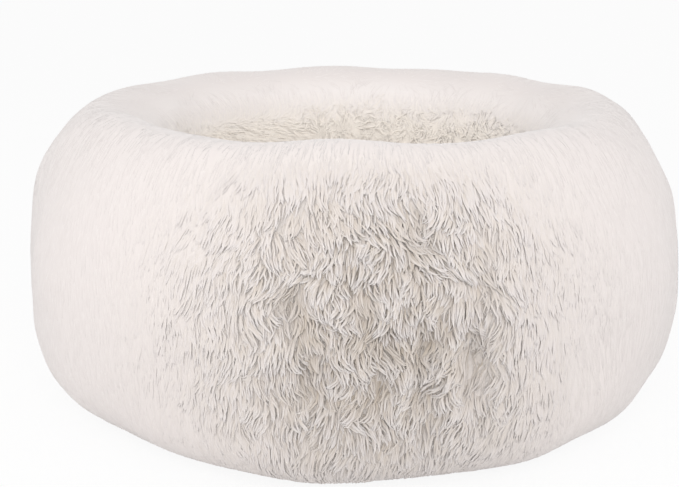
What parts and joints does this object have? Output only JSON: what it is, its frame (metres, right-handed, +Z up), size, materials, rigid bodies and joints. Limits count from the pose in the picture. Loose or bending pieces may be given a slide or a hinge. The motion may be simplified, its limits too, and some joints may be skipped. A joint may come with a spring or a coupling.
{
  "type": "round cat bed",
  "caption": "Round pet bed with a tall stuffed ring wall in long-pile plush round a padded floor, and a zip in a shallow groove under its gripping base.",
  "frame": {"origin": "centre of the circle that the bed stands on, at the tips of the grip dots", "axes": "+Z up out of the nest; +X along the zip, the way its slider opens it; -Y towards the viewer of the picture"},
  "size_m": [0.5, 0.5, 0.211],
  "materials": {
    "outer_fur": "matte",
    "inner_fur": "matte",
    "floor_fur": "matte",
    "liner_cloth": "matte",
    "polyester_fibre": "matte",
    "base_cloth": "matte",
    "sewing_thread": "satin",
    "zip_tape": "matte",
    "zip_coil": "satin",
    "zip_metal": "satin"
  },
  "bodies": {
    "bed": {"outer_wall_fur": "outer_fur", "inner_wall_fur": "inner_fur", "floor_fur": "floor_fur", "crest_seam_thread": "sewing_thread", "floor_seam_thread": "sewing_thread", "base_seam_thread": "sewing_thread", "rim_liner": "liner_cloth", "rim_filling": "polyester_fibre", "floor_liner": "liner_cloth", "floor_filling": "polyester_fibre", "base_panel_front": "base_cloth", "base_panel_back": "base_cloth", "zip_tape_front": "zip_tape", "zip_tape_back": "zip_tape", "zip_coil_front": "zip_coil", "zip_coil_back": "zip_coil", "zip_stop_closed_end": "zip_metal", "zip_stop_open_end": "zip_metal"},
    "slider": {"zip_slider": "zip_metal"},
    "pull": {"zip_pull": "zip_metal"}
  },
  "joints": [
    {"name": "zip_slide", "type": "slide", "parent": "bed", "child": "slider", "axis": [1, 0, 0], "range_m": [0, 0.234], "deforming": ["zip_coil_front", "zip_coil_back"]},
    {"name": "pull_flip", "type": "hinge", "parent": "slider", "child": "pull", "pos_m": [-0.12, 0, 0.00375], "axis": [0, 1, 0], "range_deg": [0, 175]}
  ]
}
